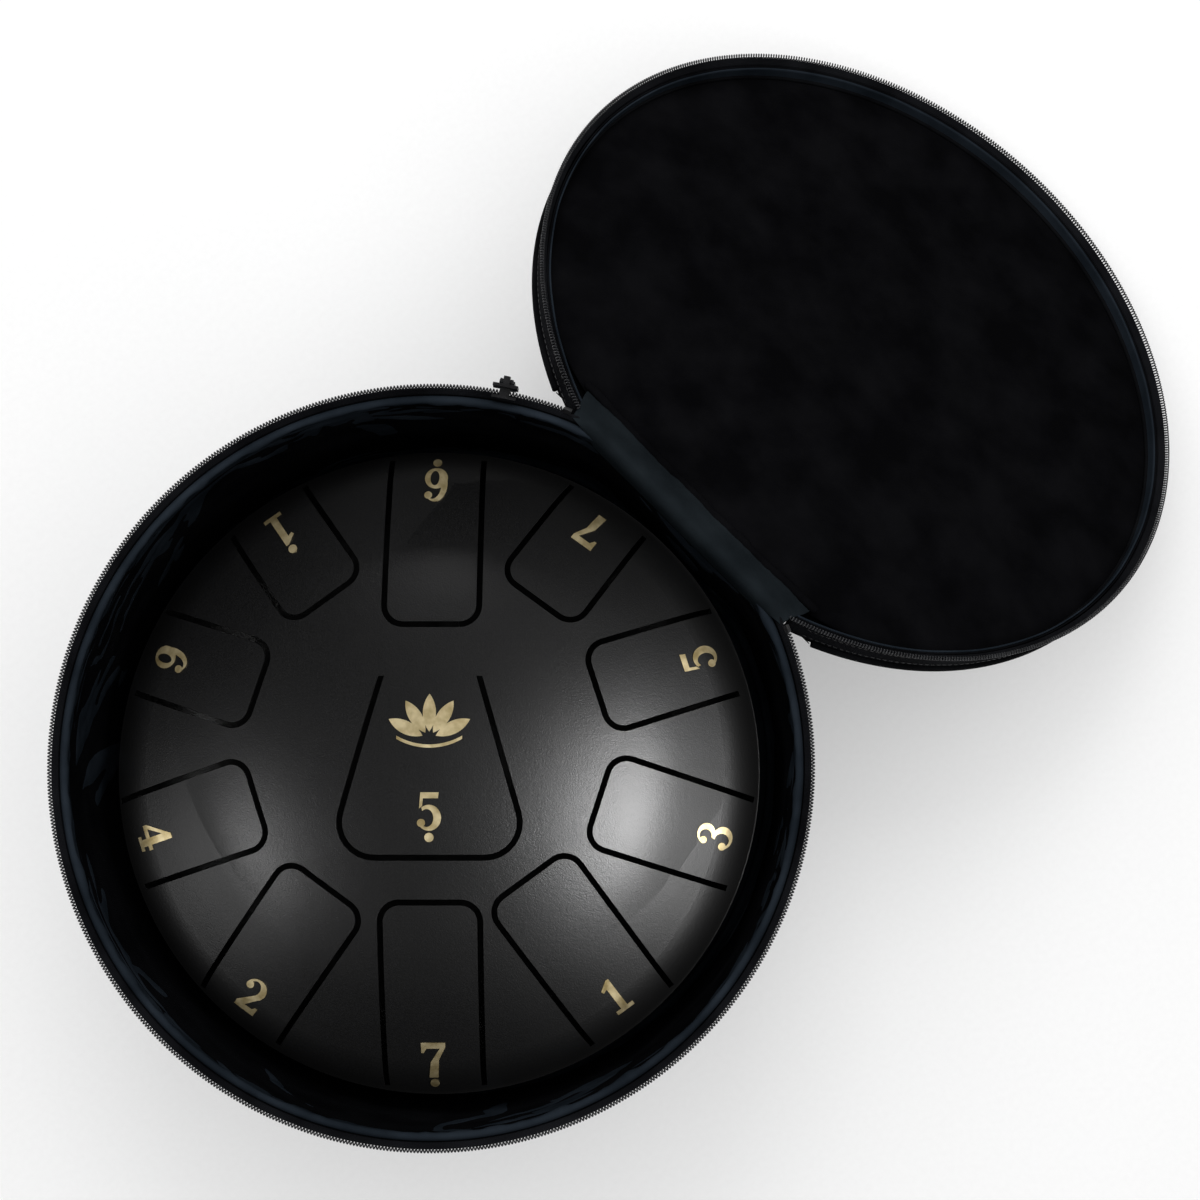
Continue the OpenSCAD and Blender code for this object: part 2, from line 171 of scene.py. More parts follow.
def round_section(r, sides=10, squash=1.0):
    return [(r * math.cos(2 * math.pi * k / sides), squash * r * math.sin(2 * math.pi * k / sides))
            for k in range(sides)]


def strap_section(width, thick, edge=4):
    """A flat strap's section with rounded edges."""
    r = thick / 2
    points = []
    for side, start in ((1, -90), (-1, 90)):
        for k in range(edge + 1):
            a = math.radians(start + 180 * k / edge)
            points.append((side * (width / 2 - r) + r * math.cos(a), r * math.sin(a)))
    return points


def modifier(obj, kind, **values):
    m = obj.modifiers.new(kind.title(), kind)
    for key, value in values.items():
        setattr(m, key, value)
    return m


def thicken(obj, t, offset=0.0):
    modifier(obj, "SOLIDIFY", thickness=t, offset=offset)
    return obj


def to_lid(obj):
    """Turns a piece made on the closed lid to where the open lid lies."""
    obj.data.transform(LID_TO_OPEN)
    obj.data.update()
    return obj


def soft_min(a, b, k=0.004):
    return (a + b - math.sqrt((a - b) ** 2 + k * k)) / 2


def outline_r(angle, r, back, k=0.002):
    """Distance from the axis to a round outline with a flat back."""
    s = math.sin(angle)
    return soft_min(r, back / s, k) if s > 0.3 else r


def ripple(x, y, z, scale, seed=0.0):
    """Smooth noise from -1 to 1."""
    return noise.noise(Vector((x * scale + seed, y * scale - seed, z * scale + 2 * seed)))


def smooth_step(a, b, x):
    t = min(1.0, max(0.0, (x - a) / (b - a)))
    return t * t * (3 - 2 * t)


# ---------------------------------------------------------------- materials
def material(name):
    mat = bpy.data.materials.new(name)
    mat.use_nodes = True
    return mat, mat.node_tree.nodes, mat.node_tree.links, mat.node_tree.nodes["Principled BSDF"]


def ramp(nodes, low, high, at=(0.3, 0.7)):
    r = nodes.new("ShaderNodeValToRGB")
    r.color_ramp.elements[0].position, r.color_ramp.elements[1].position = at
    r.color_ramp.elements[0].color = (*low, 1)
    r.color_ramp.elements[1].color = (*high, 1)
    return r


def noise_node(nodes, links, coords, scale, detail=4.0, rough=0.5):
    n = nodes.new("ShaderNodeTexNoise")
    n.inputs["Scale"].default_value = scale
    n.inputs["Detail"].default_value = detail
    n.inputs["Roughness"].default_value = rough
    links.new(coords, n.inputs["Vector"])
    return n


def remap(nodes, links, value, low, high):
    m = nodes.new("ShaderNodeMapRange")
    m.inputs["To Min"].default_value = low
    m.inputs["To Max"].default_value = high
    links.new(value, m.inputs["Value"])
    return m


def add_bump(nodes, links, height, strength, distance, before=None):
    b = nodes.new("ShaderNodeBump")
    b.inputs["Strength"].default_value = strength
    b.inputs["Distance"].default_value = distance
    links.new(height, b.inputs["Height"])
    if before is not None:
        links.new(before.outputs["Normal"], b.inputs["Normal"])
    return b


def cloth(name, dark, light, rough, pitch, weave=0.3, sheen=0.0, twill=False, spec=0.0):
    """Woven cloth: threads at the given pitch in metres, uneven colour and slow wrinkles."""
    mat, nodes, links, bsdf = material(name)
    coords = nodes.new("ShaderNodeTexCoord")
    warp, weft = nodes.new("ShaderNodeTexWave"), nodes.new("ShaderNodeTexWave")
    turn = nodes.new("ShaderNodeMapping")
    turn.inputs["Rotation"].default_value = (0, 0, math.radians(45 if twill else 0))
    links.new(coords.outputs["UV"], turn.inputs["Vector"])
    for wave, direction in ((warp, "X"), (weft, "Y")):
        wave.bands_direction = direction
        wave.inputs["Scale"].default_value = 0.3142 / pitch / (3.0 if twill and direction == "Y" else 1.0)
        wave.inputs["Distortion"].default_value = 0.4
        wave.inputs["Detail Scale"].default_value = 2.0
        links.new(turn.outputs["Vector"], wave.inputs["Vector"])
    threads = nodes.new("ShaderNodeMath")
    threads.operation = "ADD"
    links.new(warp.outputs["Fac"], threads.inputs[0])
    links.new(weft.outputs["Fac"], threads.inputs[1])
    patch = noise_node(nodes, links, coords.outputs["Object"], 38, 5)
    colour = ramp(nodes, dark, light, (0.35, 0.68))
    links.new(patch.outputs["Fac"], colour.inputs["Fac"])
    links.new(colour.outputs["Color"], bsdf.inputs["Base Color"])
    shine = noise_node(nodes, links, coords.outputs["Object"], 90, 3)
    gloss = remap(nodes, links, shine.outputs["Fac"], rough - 0.07, rough + 0.1)
    links.new(gloss.outputs["Result"], bsdf.inputs["Roughness"])
    wrinkles = noise_node(nodes, links, coords.outputs["Object"], 120, 3)
    slow = add_bump(nodes, links, wrinkles.outputs["Fac"], 0.25, 0.0006)
    fine = add_bump(nodes, links, threads.outputs["Value"], weave, 0.00012, slow)
    links.new(fine.outputs["Normal"], bsdf.inputs["Normal"])
    bsdf.inputs["Sheen Weight"].default_value = sheen
    bsdf.inputs["Sheen Roughness"].default_value = 0.4
    bsdf.inputs["Specular IOR Level"].default_value = spec
    return mat


def powder_coat():
    """Black fine-grained powder coat with small pits and rubbed, glossier patches."""
    mat, nodes, links, bsdf = material("powder_coat")
    coords = nodes.new("ShaderNodeTexCoord")
    grain = noise_node(nodes, links, coords.outputs["Object"], 1500, 2, 0.6)
    peel = noise_node(nodes, links, coords.outputs["Object"], 420, 2)
    worn = noise_node(nodes, links, coords.outputs["Object"], 18, 4)
    colour = ramp(nodes, (0.0020, 0.0020, 0.0021), (0.0075, 0.0075, 0.0078), (0.35, 0.7))
    links.new(grain.outputs["Fac"], colour.inputs["Fac"])
    links.new(colour.outputs["Color"], bsdf.inputs["Base Color"])
    gloss = remap(nodes, links, worn.outputs["Fac"], 0.35, 0.42)
    links.new(gloss.outputs["Result"], bsdf.inputs["Roughness"])
    low = add_bump(nodes, links, peel.outputs["Fac"], 0.2, 0.0002)
    high = add_bump(nodes, links, grain.outputs["Fac"], 0.5, 0.00018, low)
    links.new(high.outputs["Normal"], bsdf.inputs["Normal"])
    bsdf.inputs["Specular IOR Level"].default_value = 0.5
    return mat


def gold_foil():
    """Pale gold foil with a slightly uneven mirror."""
    mat, nodes, links, bsdf = material("gold_foil_film")
    coords = nodes.new("ShaderNodeTexCoord")
    tone = noise_node(nodes, links, coords.outputs["Object"], 160, 3)
    colour = ramp(nodes, (0.52, 0.40, 0.18), (0.90, 0.76, 0.46), (0.3, 0.7))
    links.new(tone.outputs["Fac"], colour.inputs["Fac"])
    links.new(colour.outputs["Color"], bsdf.inputs["Base Color"])
    gloss = remap(nodes, links, tone.outputs["Fac"], 0.3, 0.46)
    links.new(gloss.outputs["Result"], bsdf.inputs["Roughness"])
    dents = noise_node(nodes, links, coords.outputs["Object"], 300, 2)
    wave = add_bump(nodes, links, dents.outputs["Fac"], 0.3, 0.0003)
    links.new(wave.outputs["Normal"], bsdf.inputs["Normal"])
    bsdf.inputs["Metallic"].default_value = 0.75
    return mat


def hard(name, dark, light, rough, scale, bump=0.2, metallic=0.0):
    """Moulded or painted small parts: uneven tone and a light surface texture."""
    mat, nodes, links, bsdf = material(name)
    coords = nodes.new("ShaderNodeTexCoord")
    tone = noise_node(nodes, links, coords.outputs["Object"], scale, 4)
    colour = ramp(nodes, dark, light)
    links.new(tone.outputs["Fac"], colour.inputs["Fac"])
    links.new(colour.outputs["Color"], bsdf.inputs["Base Color"])
    gloss = remap(nodes, links, tone.outputs["Fac"], rough - 0.06, rough + 0.08)
    links.new(gloss.outputs["Result"], bsdf.inputs["Roughness"])
    grain = noise_node(nodes, links, coords.outputs["Object"], scale * 8, 2)
    surface = add_bump(nodes, links, grain.outputs["Fac"], bump, 0.0002)
    links.new(surface.outputs["Normal"], bsdf.inputs["Normal"])
    bsdf.inputs["Metallic"].default_value = metallic
    return mat


MATS = {
    "shell_fabric": cloth("shell_cloth", (0.0026, 0.0027, 0.0032), (0.0054, 0.0057, 0.0067),
                          rough=0.6, pitch=0.0009, weave=0.7),
    "lining": cloth("lining_satin", (0.0092, 0.0124, 0.0166), (0.0185, 0.0242, 0.0318),
                    rough=0.34, pitch=0.0005),
    "hinge_fabric": cloth("fold_satin", (0.0080, 0.0104, 0.0124), (0.0140, 0.0180, 0.0212),
                          rough=0.42, pitch=0.0005),
    "lid_lining": cloth("lid_satin", (0.0021, 0.0021, 0.0025), (0.0043, 0.0043, 0.0050),
                        rough=0.4, pitch=0.0005, weave=0.25, twill=True),
    "piping": cloth("piping_cloth", (0.0026, 0.0027, 0.0032), (0.0060, 0.0063, 0.0072),
                    rough=0.5, pitch=0.0006, weave=0.6, spec=0.01),
    "zip_tape": cloth("zip_tape_cloth", (0.0045, 0.0047, 0.0056), (0.0100, 0.0106, 0.0125),
                      rough=0.55, pitch=0.0007, weave=1.0, spec=0.01),
    "webbing": cloth("webbing_cloth", (0.0045, 0.0045, 0.0055), (0.0105, 0.011, 0.013),
                     rough=0.5, pitch=0.0016, weave=1.0, sheen=0.02, twill=True, spec=0.1),
    "zip_coil": hard("coil_nylon", (0.010, 0.010, 0.0115), (0.026, 0.027, 0.030), rough=0.34, scale=200),
    "thread": hard("sewing_thread", (0.006, 0.006, 0.007), (0.015, 0.0155, 0.0175), rough=0.5, scale=400),
    "zip_metal": hard("painted_zinc", (0.006, 0.006, 0.0065), (0.014, 0.014, 0.0155),
                      rough=0.32, scale=120, bump=0.15, metallic=0.2),
    "rubber": hard("black_rubber", (0.008, 0.008, 0.008), (0.015, 0.015, 0.015),
                   rough=0.7, scale=60, bump=0.5),
    "drum_paint": powder_coat(),
    "gold_foil": gold_foil(),
}


def dress(obj, slot, body=None, stands_for=(), mat=None):
    """Gives a piece the material of its slot, or the one named by mat, and sets what it moves with and stands for.
    """
    obj.data.materials.clear()
    obj.data.materials.append(MATS[mat or slot])
    if body:
        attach(obj, body)
    if stands_for:
        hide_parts(*stands_for)
    return obj


# ---------------------------------------------------------------- cloth simulation
def run_cloth(obj, pinned, walls, frames, grow, bend):
    """Lets a sheet that is cut too large buckle between walls, with its pinned points held."""
    group = obj.vertex_groups.new(name="held")
    for index, weight in pinned.items():
        group.add([index], weight, "REPLACE")
    for wall in walls:
        modifier(wall, "COLLISION")
        wall.collision.thickness_outer = 0.0006
        wall.collision.thickness_inner = 0.004
    cloth_mod = obj.modifiers.new("Cloth", "CLOTH")
    s = cloth_mod.settings
    s.quality = 6
    s.mass = 0.12
    s.tension_stiffness = s.compression_stiffness = 12
    s.shear_stiffness = 4
    s.bending_stiffness = bend
    s.air_damping = 3
    s.vertex_group_mass = "held"
    s.shrink_min = -grow
    s.effector_weights.gravity = 0.0
    cloth_mod.collision_settings.use_collision = True
    cloth_mod.collision_settings.distance_min = 0.0008
    cloth_mod.point_cache.frame_start, cloth_mod.point_cache.frame_end = 1, frames
    scene = bpy.context.scene
    for f in range(1, frames + 1):
        scene.frame_set(f)
    with bpy.context.temp_override(object=obj, active_object=obj, selected_objects=[obj]):
        bpy.ops.object.modifier_apply(modifier=cloth_mod.name)
    scene.frame_set(1)
    obj.vertex_groups.clear()
    for wall in walls:
        bpy.data.objects.remove(wall)


# ---------------------------------------------------------------- bag base
def side_wall():
    """The outer wall: a padded cylinder with a flat back, slightly rumpled between its seams."""
    nu, nv = 300, 44
    z0, z1 = 1.2 * MM, WALL_TOP
    points = np.zeros((nu, nv, 3))
    for i in range(nu):
        a = 2 * math.pi * i / nu
        for j in range(nv):
            t = j / (nv - 1)
            z = z0 + (z1 - z0) * t
            x, y = math.cos(a), math.sin(a)
            calm = smooth_step(0, 0.12, t) * smooth_step(1, 0.86, t)
            r = outline_r(a, WALL_R - 0.3 * MM, SHELL_BACK - 0.3 * MM)
            push = 0.9 * MM * ripple(x, y, z * 5, 4.0, 3) + 0.5 * MM * ripple(x, y, z * 2, 11.0, 8)
            r += calm * (push - 0.5 * MM)
            points[i, j] = (r * x, r * y, z)
    return dress(thicken(grid_piece("side_wall_cloth", points, closed=True), 0.8 * MM, -1), "shell_fabric",
                 "bag", ["side_wall", "side_foam"])


def lining_profile(t):
    """Radius and height of the lining before it creases: over the rim roll, then down the wall."""
    roll = [(WALL_R - 0.2 * MM, WALL_TOP - 0.6 * MM), (WALL_R - 0.9 * MM, WALL_TOP + 1.2 * MM),
            (WALL_R - 2.4 * MM, WALL_TOP + 1.9 * MM), (ROOM_R + 1.2 * MM, WALL_TOP + 1.2 * MM),
            (ROOM_R + 0.1 * MM, WALL_TOP - 1.0 * MM)]
    share = 0.06
    if t < share:
        s = t / share * (len(roll) - 1)
        k = min(int(s), len(roll) - 2)
        f = s - k
        return tuple(roll[k][m] + (roll[k + 1][m] - roll[k][m]) * f for m in (0, 1))
    f = (t - share) / (1 - share)
    z_top = WALL_TOP - 1.0 * MM
    return ROOM_R - 0.1 * MM, z_top + (FLOOR_TOP + 0.6 * MM - z_top) * f


def side_lining():
    """The loose satin lining of the wall, cut too large, so that it lies in folds."""
    nu, nv = 300, 62
    points = np.zeros((nu, nv, 3))
    for i in range(nu):
        a = 2 * math.pi * i / nu
        for j in range(nv):
            t = j / (nv - 1)
            r, z = lining_profile(t)
            inset = WALL_R - r
            free = smooth_step(0.06, 0.2, t) * smooth_step(1.0, 0.9, t)
            rr = outline_r(a, r, SHELL_BACK - inset)
            over = smooth_step(EQUATOR_Z + 10 * MM, EQUATOR_Z + 55 * MM, z)
            depth = (2.6 + 9.0 * over) * MM
            x, y = math.cos(a), math.sin(a)
            fold = 0.5 + 0.5 * ripple(x, y, z * 9, 2.6, 5) + 0.3 * ripple(x, y, z * 14, 6.0, 2)
            rr -= free * depth * 0.5 * max(0.0, fold)
            points[i, j] = (rr * x, rr * y, z)
    obj = grid_piece("side_lining_folds", points, closed=True)
    outer = grid_piece("outer_wall", [[
        (outline_r(a, ROOM_R + 0.8 * MM, ROOM_BACK + 0.8 * MM) * math.cos(a),
         outline_r(a, ROOM_R + 0.8 * MM, ROOM_BACK + 0.8 * MM) * math.sin(a), z)
        for z in np.linspace(-0.01, WALL_TOP - 0.004, 12)]
        for a in np.linspace(0, 2 * math.pi, 150, endpoint=False)], closed=True)
    inner = grid_piece("inner_wall", [[
        (DRUM_AXIS.x + r * math.cos(a), DRUM_AXIS.y + r * math.sin(a), z)
        for r, z in ((DRUM_R - 0.004, -0.01), (DRUM_R + 0.002, 0.06), (DRUM_R + 0.002, 0.105),
                     (DRUM_R - 0.009, 0.135), (DRUM_R - 0.013, 0.2))]
        for a in np.linspace(0, 2 * math.pi, 150, endpoint=False)], closed=True)
    held = {}
    for i in range(nu):
        for j in range(nv):
            t = j / (nv - 1)
            w = max(smooth_step(0.13, 0.06, t), smooth_step(0.94, 1.0, t))
            if w > 0.01:
                held[i * nv + j] = w
    run_cloth(obj, held, [outer, inner], frames=22, grow=0.06, bend=0.02)
    modifier(obj, "SUBSURF", levels=1, render_levels=1)
    thicken(obj, 0.4 * MM)
    dress(obj, "lining", "bag", ["side_lining"])
    return obj


def disc_sheet(name, r, back, z, spokes=150, rings=26):
    """A round flat sheet with a flat back, at height z."""
    def place(i, t):
        a = 2 * math.pi * i / spokes
        edge = outline_r(a, r, back) * t
        return edge * math.cos(a), edge * math.sin(a), z
    return disc_piece(name, spokes, rings, place)


def bag_floor():
    top = disc_sheet("bottom_lining_cloth", ROOM_R - 0.4 * MM, ROOM_BACK - 0.4 * MM, FLOOR_TOP - 0.3 * MM)
    dress(thicken(top, 0.4 * MM), "lining", "bag", ["bottom_lining", "bottom_foam"])
    under = disc_sheet("bottom_panel_cloth", WALL_R - 0.4 * MM, SHELL_BACK - 0.4 * MM, 0.9 * MM)
    dress(thicken(under, 1.4 * MM), "shell_fabric", "bag", ["bottom_panel"])


def ring_path(r, back, z, n=360, start=0.0, sweep=2 * math.pi):
    closed = sweep >= 2 * math.pi - 1e-6
    steps = n if closed else n - 1
    path, out = [], []
    for i in range(n):
        a = start + sweep * i / steps
        rr = outline_r(a, r, back)
        path.append((rr * math.cos(a), rr * math.sin(a), z))
        out.append((math.cos(a), math.sin(a), 0))
    return path, out


def stitches(name, path, out, pitch, body, long=0.72, thick=0.28 * MM, lid=False):
    """A row of short raised stitches along a path."""
    path, out = np.asarray(path), np.asarray(out)
    seg = np.linalg.norm(np.diff(path, axis=0), axis=1)
    run = np.concatenate([[0], np.cumsum(seg)])
    count = int(run[-1] / pitch)
    verts, faces = [], []

    def at(s):
        return (np.array([np.interp(s, run, path[:, k]) for k in range(3)]),
                np.array([np.interp(s, run, out[:, k]) for k in range(3)]))

    for c in range(count):
        rings = []
        for f, w in ((0, 0.35), (0.25, 1), (0.75, 1), (1, 0.35)):
            p, o = at((c + 0.5 * (1 - long) + long * f) * pitch)
            ahead = at((c + 0.9) * pitch)[0] - at((c + 0.1) * pitch)[0]
            side = np.cross(ahead / np.linalg.norm(ahead), o)
            rings.append([p + side * thick * w * math.cos(b) * 1.3 + o * thick * w * (math.sin(b) + 0.2)
                          for b in np.linspace(0, 2 * math.pi, 6, endpoint=False)])
        base = len(verts)
        for ring in rings:
            verts += ring
        for q in range(3):
            for k in range(6):
                h = (k + 1) % 6
                low, high = base + q * 6, base + (q + 1) * 6
                faces.append((low + k, high + k, high + h, low + h))
        faces.append(tuple(base + k for k in range(6))[::-1])
        faces.append(tuple(base + 18 + k for k in range(6)))
    obj = new_piece(name, verts, faces)
    if lid:
        to_lid(obj)
    return dress(obj, "zip_tape", body, mat="thread")


def bottom_piping():
    low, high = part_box("bottom_piping")
    mid = (low.z + high.z) / 2
    path, out = ring_path(WALL_R + 0.5 * MM, SHELL_BACK - 1.2 * MM, mid, 420)
    cord = tube_piece("bottom_piping_cord", path, out, round_section(1.65 * MM, 10), closed=True)
    dress(cord, "piping", "bag", ["bottom_piping"])
    path, out = ring_path(WALL_R + 0.15 * MM, SHELL_BACK - 0.2 * MM, high.z + 2.2 * MM, 420)
    stitches("bottom_stitches", path + path[:1], out + out[:1], 3.4 * MM, "bag")


# ---------------------------------------------------------------- zip
def lid_back(z):
    """How far back the closed lid reaches at height z, so that it clears the wall when opened."""
    return HINGE.y - (z - RIM_Z) * math.tan(LID_SLOPE) - LID_GAP


def zip_point(along, across, a):
    """A point on the leaning zip band: along the lean from its foot, across it, at angle a."""
    foot_r = WALL_R + 0.5 * MM
    r = foot_r + along * math.sin(LEAN) + across * math.cos(LEAN)
    z = WALL_TOP + along * math.cos(LEAN) - across * math.sin(LEAN)
    return (r * math.cos(a), r * math.sin(a), z)


def mirrored(points):
    """The same points on the closed lid, mirrored in the rim plane."""
    p = np.array(points, float)
    p[..., 2] = 2 * RIM_Z - p[..., 2]
    return p


def trimmed_angles(z_depth, r):
    """Where a lid ring at that height over the rim plane starts beside the fold, and how far it sweeps."""
    gap = math.acos(min(1.0, lid_back(RIM_Z + z_depth) / r))
    return math.pi / 2 + gap, 2 * math.pi - 2 * gap


def zip_tape(name, lid):
    n = 420
    rows = [(-10.5, 0.0), (-8, 0.05), (-5, -0.05), (-2, 0.0)]
    start, sweep = RIM_TAPE_START, RIM_TAPE_SWEEP
    if lid:
        start, sweep = trimmed_angles(6 * MM, WALL_R + 2 * MM)
    points = []
    for i in range(n):
        a = start + sweep * i / (n - 1)
        column = []
        wob = 0.25 * MM * ripple(math.cos(a), math.sin(a), 0, 9, 4)
        for drop, bulge in rows:
            r = WALL_R + 0.55 * MM + bulge * MM
            column.append((r * math.cos(a), r * math.sin(a), WALL_TOP + drop * MM))
        for along in (0.2, 0.9, 1.7, 2.5, 3.4):
            column.append(zip_point(along * MM, wob * along / 3.4, a))
        points.append(column)
    obj = grid_piece(name, mirrored(points) if lid else points)
    thicken(obj, 0.7 * MM)
    if lid:
        to_lid(obj)
    return dress(obj, "zip_tape", "lid" if lid else "bag", ["lid_zip_tape" if lid else "rim_zip_tape"])


def zip_coil(name, lid):
    """A nylon coil: one thread wound along the edge of the tape, a turn for each tooth."""
    pitch, per_turn, sides = 1.5 * MM, 10, 5
    centre, half_wide, half_thick = 4.45 * MM, 0.95 * MM, 0.72 * MM
    start, sweep = ZIP_START + 0.02, ZIP_SWEEP - 0.04
    if lid:
        start, sweep = trimmed_angles(2 * MM, RIM_R - 1 * MM)
    turns = int(sweep * (RIM_R - 1.4 * MM) / pitch)
    path, out = [], []
    for k in range(turns * per_turn + 1):
        a = start + sweep * k / (turns * per_turn)
        phase = 2 * math.pi * k / per_turn
        along = centre + half_wide * math.cos(phase)
        across = half_thick * math.sin(phase)
        path.append(zip_point(along, across, a))
        middle = zip_point(centre, 0, a)
        out.append(np.array(path[-1]) - np.array(middle))
    path, out = np.array(path), np.array(out)
    obj = tube_piece(name, mirrored(path) if lid else path,
                     out * (1, 1, -1) if lid else out, round_section(0.36 * MM, sides))
    if lid:
        to_lid(obj)
    return dress(obj, "zip_coil", "lid" if lid else "bag", ["lid_zip_coil" if lid else "rim_zip_coil"])


def zips():
    for lid in (False, True):
        side = "lid" if lid else "rim"
        zip_tape(side + "_zip_tape_cloth", lid)
        zip_coil(side + "_zip_coil_thread", lid)
    for row, drop in (("upper", 3.2), ("lower", 8.6)):
        n = 420
        for lid in (False, True):
            start, sweep = trimmed_angles(13 * MM, WALL_R) if lid else (ZIP_START, ZIP_SWEEP)
            path, out = [], []
            for i in range(n):
                a = start + sweep * i / (n - 1)
                r = WALL_R + 0.95 * MM
                path.append((r * math.cos(a), r * math.sin(a), WALL_TOP - drop * MM))
                out.append((math.cos(a), math.sin(a), 0))
            stitches(("lid_" if lid else "rim_") + row + "_stitches", mirrored(path) if lid else path, out,
                     3.2 * MM, "lid" if lid else "bag", lid=lid)


# ---------------------------------------------------------------- lid
def lid_panel():
    def place(i, t):
        a = 2 * math.pi * i / 180
        r = outline_r(a, WALL_R - 0.3 * MM, lid_back(LID_TOP) + 0.4 * MM) * t
        x, y = r * math.cos(a), r * math.sin(a)
        return x, y, LID_TOP - 0.6 * MM + 0.4 * MM * ripple(x, y, 0, 30, 7) * (1 - t ** 6)

    obj = to_lid(thicken(disc_piece("lid_panel_cloth", 180, 30, place), 0.9 * MM))
    return dress(obj, "shell_fabric", "lid", ["lid_panel", "lid_foam"])


def lid_skirts():
    top_in, top_out, low = LID_LINING_Z + 0.4 * MM, LID_TOP - 0.8 * MM, 2 * RIM_Z - WALL_TOP
    n, rows = 300, 7
    for node, r, top, slot in (("lid_skirt", WALL_R - 0.6 * MM, top_out, "shell_fabric"),
                               ("lid_skirt_lining", WALL_R - 1.7 * MM, top_in, "lining")):
        points = []
        for i in range(n):
            column = []
            for j in range(rows):
                z = low + (top - low) * j / (rows - 1)
                start, sweep = trimmed_angles(z - RIM_Z, r)
                a = start + sweep * i / (n - 1)
                rr = r + 0.25 * MM * ripple(math.cos(a), math.sin(a), z * 20, 8, 2)
                column.append((rr * math.cos(a), rr * math.sin(a), z))
            points.append(column)
        obj = to_lid(thicken(grid_piece(node + "_cloth", points), 0.7 * MM))
        dress(obj, slot, "lid", [node])


def lid_lining():
    """The padded satin panel inside the lid, puckered where it is sewn to the skirt."""
    spokes, rings = 260, 40
    r_edge = WALL_R - 2.4 * MM

    def place(i, t):
        t = 1 - (1 - t) ** 1.15
        a = 2 * math.pi * i / spokes
        c, sn = math.cos(a), math.sin(a)
        edge = outline_r(a, r_edge, lid_back(LID_LINING_Z) - 0.6 * MM, 0.02)
        x, y = edge * t * c, edge * t * sn
        inside = (1 - t) * edge
        rim = math.exp(-(inside / (16 * MM)) ** 2)
        pucker = ripple(c, sn, t, 14, 3) + 0.6 * ripple(c, sn, t, 33, 9)
        puff = 3.4 * MM * (1 - math.exp(-inside / (9 * MM)))
        wave = 0.7 * MM * ripple(x, y, 0, 22, 4) * (1 - rim)
        return x, y, LID_LINING_Z + 0.3 * MM - puff - wave - 1.3 * MM * rim * (1 - t ** 40) * pucker

    obj = disc_piece("lid_lining_puff", spokes, rings, place)
    modifier(obj, "SUBSURF", levels=1, render_levels=1)
    thicken(obj, 0.5 * MM)
    to_lid(obj)
    dress(obj, "lid_lining", "lid", ["lid_lining"])
    start, sweep = trimmed_angles(LID_LINING_Z - RIM_Z, r_edge)
    path, out = ring_path(r_edge + 0.2 * MM, 1.0, LID_LINING_Z - 0.8 * MM, 360, start + 0.01, sweep - 0.02)
    cord = to_lid(tube_piece("lid_seam_binding", path, out, round_section(1.1 * MM, 8)))
    dress(cord, "piping", "lid")


def lid_piping():
    z = RIM_Z + 18.2 * MM
    start, sweep = trimmed_angles(20 * MM, WALL_R)
    path, out = ring_path(WALL_R + 0.6 * MM, 1.0, z, 420, start, sweep)
    obj = to_lid(tube_piece("lid_piping_cord", path, out, round_section(1.75 * MM, 10)))
    dress(obj, "piping", "lid", ["lid_piping"])


def fold_backing():
    """Shell cloth that closes the lid's padded edge along the fold."""
    points = []
    n = 60
    rows = [(0.9, 60), (6, 64), (12, 70), (16, 76), (19, 82)]
    for i in range(n):
        f = -1 + 2 * i / (n - 1)
        points.append([(f * half * MM, lid_back(RIM_Z + up * MM) + 0.25 * MM, RIM_Z + up * MM)
                       for up, half in rows])
    obj = to_lid(thicken(grid_piece("fold_backing_cloth", points), 0.4 * MM))
    dress(obj, "shell_fabric", "lid")


def fold_strip():
    """The satin strip over the fold: sewn inside the rim, over the wall, and down onto the lid's lining."""
    y0 = HINGE.y
    lining_drop = LID_LINING_DEPTH / math.cos(LID_SLOPE)
    over_rim = [(-6.2, -14), (-5.9, -9), (-5.2, -4.5), (-4.0, -1.6), (-2.4, -0.3), (-0.9, 0.1),
                (0.6, -0.3), (2.4, -2.2), (4.6, -5.4), (7.2, -9.8)]
    profile = [(y0 + y * MM, RIM_Z + z * MM) for y, z in over_rim]
    profile += [(y0 + y * MM, RIM_Z - y * MM * math.tan(LID_SLOPE) - lining_drop + above * MM)
                for y, above in ((10, 5.2), (13, 4.0))]
    n = 120
    points = []
    for i in range(n):
        f = -1 + 2 * i / (n - 1)
        column = []
        for k, (y, z) in enumerate(profile):
            half = 67 * MM + 5 * MM * smooth_step(5, 11, k) - 17 * MM * smooth_step(4.5, 0, k)
            x = f * half
            ends = smooth_step(56 * MM, 68 * MM, abs(x)) * smooth_step(2, 5, k) * smooth_step(11, 8, k)
            ruffle = smooth_step(6, 11, k) * (1.1 * MM * ripple(x, k * 0.002, 0, 70, 3) +
                                              0.6 * MM * ripple(x, k * 0.002, 0, 190, 6))
            crease = 0.35 * MM * ripple(x, k * 0.004, 0, 45, 2)
            crease -= 0.7 * MM * math.exp(-((k - 3.6) / 0.7) ** 2)
            column.append((x, y - 3.0 * MM * ends * (k < 6), z + ruffle + crease * 0.6 - 4.5 * MM * ends))
        points.append(column)
    obj = grid_piece("fold_strip_cloth", points)
    modifier(obj, "SUBSURF", levels=1, render_levels=1)
    thicken(obj, 0.5 * MM)
    dress(obj, "hinge_fabric", None, ["hinge_strip"])
    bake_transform(obj)


